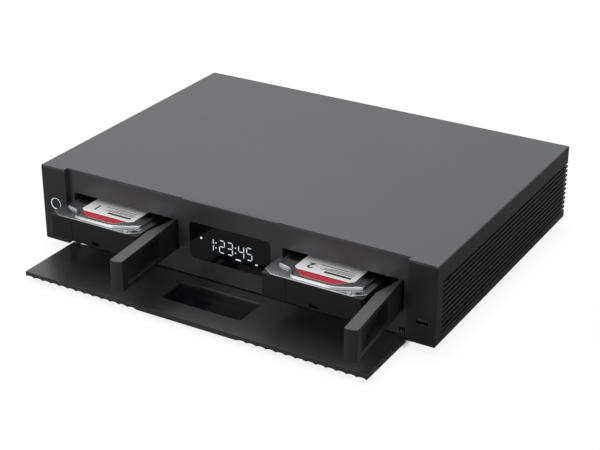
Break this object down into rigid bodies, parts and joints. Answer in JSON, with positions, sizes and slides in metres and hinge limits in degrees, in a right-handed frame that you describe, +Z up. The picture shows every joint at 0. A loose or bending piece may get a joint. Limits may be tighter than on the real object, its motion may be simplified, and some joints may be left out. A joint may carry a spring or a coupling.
{
  "type": "media player with hard drive bays",
  "caption": "Low wide media player; drop-down fluted front door, hard drives run out of bays with swinging levers, central display, ribbed side panels.",
  "frame": {"origin": "on the table under the middle of the whole object as stored, levers and drives out", "axes": "+X to the right seen from the front, +Y to the back, +Z up"},
  "size_m": [0.43, 0.403, 0.0886],
  "materials": {
    "case_aluminium": "satin black anodised",
    "cover_metal": "matt grey-black powder coat",
    "pan_steel": "matt black powder coat",
    "rear_steel": "matt black powder coat",
    "cage_steel": "matt black",
    "foot_plastic": "moulded",
    "pad_rubber": "matt",
    "black_screw": "black oxide",
    "zinc_screw": "zinc plated",
    "pin_steel": "ground",
    "smoked_glass": "smoked, glossy",
    "lit_segment": "lit white",
    "lit_ring": "lit white",
    "dark_plastic": "moulded black",
    "rocker_plastic": "moulded black",
    "circuit_board": "solder mask",
    "socket_shell": "nickel plated",
    "socket_gold": "gold plated",
    "brass_post": "plain",
    "bare_aluminium": "extruded",
    "supply_case": "galvanised",
    "fan_plastic": "moulded black",
    "drive_casting": "black electrocoat",
    "drive_lid": "satin stamped",
    "drive_label": "printed paper, white with a plain red band"
  },
  "bodies": {
    "casing": {"audio_sockets": "socket_gold", "backplane": "circuit_board", "base_pan": "pan_steel", "board_screws": "zinc_screw", "board_standoffs": "brass_post", "button_board": "circuit_board", "cage_screws": "zinc_screw", "cover_screws": "black_screw", "display_digits": "lit_segment", "display_module": "dark_plastic", "display_window": "smoked_glass", "door_hinge_pins": "pin_steel", "drive_cage_left": "cage_steel", "drive_cage_right": "cage_steel", "fan_frame": "fan_plastic", "feet": "foot_plastic", "foot_pads": "pad_rubber", "front_panel": "case_aluminium", "front_usb_socket": "socket_shell", "hdmi_sockets": "socket_shell", "heat_sink": "bare_aluminium", "lan_socket": "socket_shell", "lever_pin_left": "pin_steel", "lever_pin_right": "pin_steel", "light_ring": "lit_ring", "main_board": "circuit_board", "mains_inlet": "dark_plastic", "optical_socket": "dark_plastic", "power_supply": "supply_case", "rear_panel": "rear_steel", "rear_screws": "black_screw", "rear_usb_sockets": "socket_shell", "side_panel_left": "case_aluminium", "side_panel_right": "case_aluminium", "side_panel_screws": "black_screw", "switch_frame": "dark_plastic", "top_cover": "cover_metal"},
    "door": {"front_door": "case_aluminium", "door_window": "smoked_glass"},
    "lever_left": {"lever_left": "case_aluminium"},
    "tray_left": {"tray_left": "cage_steel"},
    "drive_left": {"drive_base_left": "drive_casting", "drive_lid_left": "drive_lid", "drive_label_left": "drive_label", "drive_board_left": "circuit_board", "drive_connector_left": "dark_plastic", "drive_screws_left": "zinc_screw"},
    "lever_right": {"lever_right": "case_aluminium"},
    "tray_right": {"tray_right": "cage_steel"},
    "drive_right": {"drive_base_right": "drive_casting", "drive_lid_right": "drive_lid", "drive_label_right": "drive_label", "drive_board_right": "circuit_board", "drive_connector_right": "dark_plastic", "drive_screws_right": "zinc_screw"},
    "power_button": {"power_button": "case_aluminium"},
    "fan_rotor": {"fan_rotor": "fan_plastic"},
    "power_rocker": {"power_rocker": "rocker_plastic"}
  },
  "joints": [
    {"name": "door_hinge", "type": "hinge", "parent": "casing", "child": "door", "pos_m": [0, -0.10085, 0.0116], "axis": [-1, 0, 0], "range_deg": [0, 16.5]},
    {"name": "tray_left_slide", "type": "slide", "parent": "casing", "child": "tray_left", "axis": [0, 1, 0], "range_m": [0, 0.08]},
    {"name": "lever_left_hinge", "type": "hinge", "parent": "casing", "child": "lever_left", "pos_m": [-0.0625, -0.10015, 0.04835], "axis": [0, 0, -1], "range_deg": [0, 94.7]},
    {"name": "drive_left_slide", "type": "slide", "parent": "tray_left", "child": "drive_left", "axis": [0, 1, 0], "range_m": [-0.12, 0]},
    {"name": "tray_right_slide", "type": "slide", "parent": "casing", "child": "tray_right", "axis": [0, 1, 0], "range_m": [0, 0.08]},
    {"name": "lever_right_hinge", "type": "hinge", "parent": "casing", "child": "lever_right", "pos_m": [0.1752, -0.10015, 0.04835], "axis": [0, 0, -1], "range_deg": [0, 94.7]},
    {"name": "drive_right_slide", "type": "slide", "parent": "tray_right", "child": "drive_right", "axis": [0, 1, 0], "range_m": [-0.12, 0]},
    {"name": "power_button_press", "type": "slide", "parent": "casing", "child": "power_button", "axis": [0, 1, 0], "range_m": [0, 0.0012], "stiffness_N_per_m": 300},
    {"name": "fan_spin", "type": "hinge", "parent": "casing", "child": "fan_rotor", "pos_m": [-0.041, 0.18945, 0.049], "axis": [0, 1, 0], "continuous": true},
    {"name": "rocker_tip", "type": "hinge", "parent": "casing", "child": "power_rocker", "pos_m": [-0.112, 0.19545, 0.033], "axis": [1, 0, 0], "range_deg": [-14, 0]}
  ],
  "couplings": [
    {"joint": "lever_left_hinge", "follows": "tray_left_slide", "rad_per_m": 20.66},
    {"joint": "lever_right_hinge", "follows": "tray_right_slide", "rad_per_m": 20.66}
  ]
}
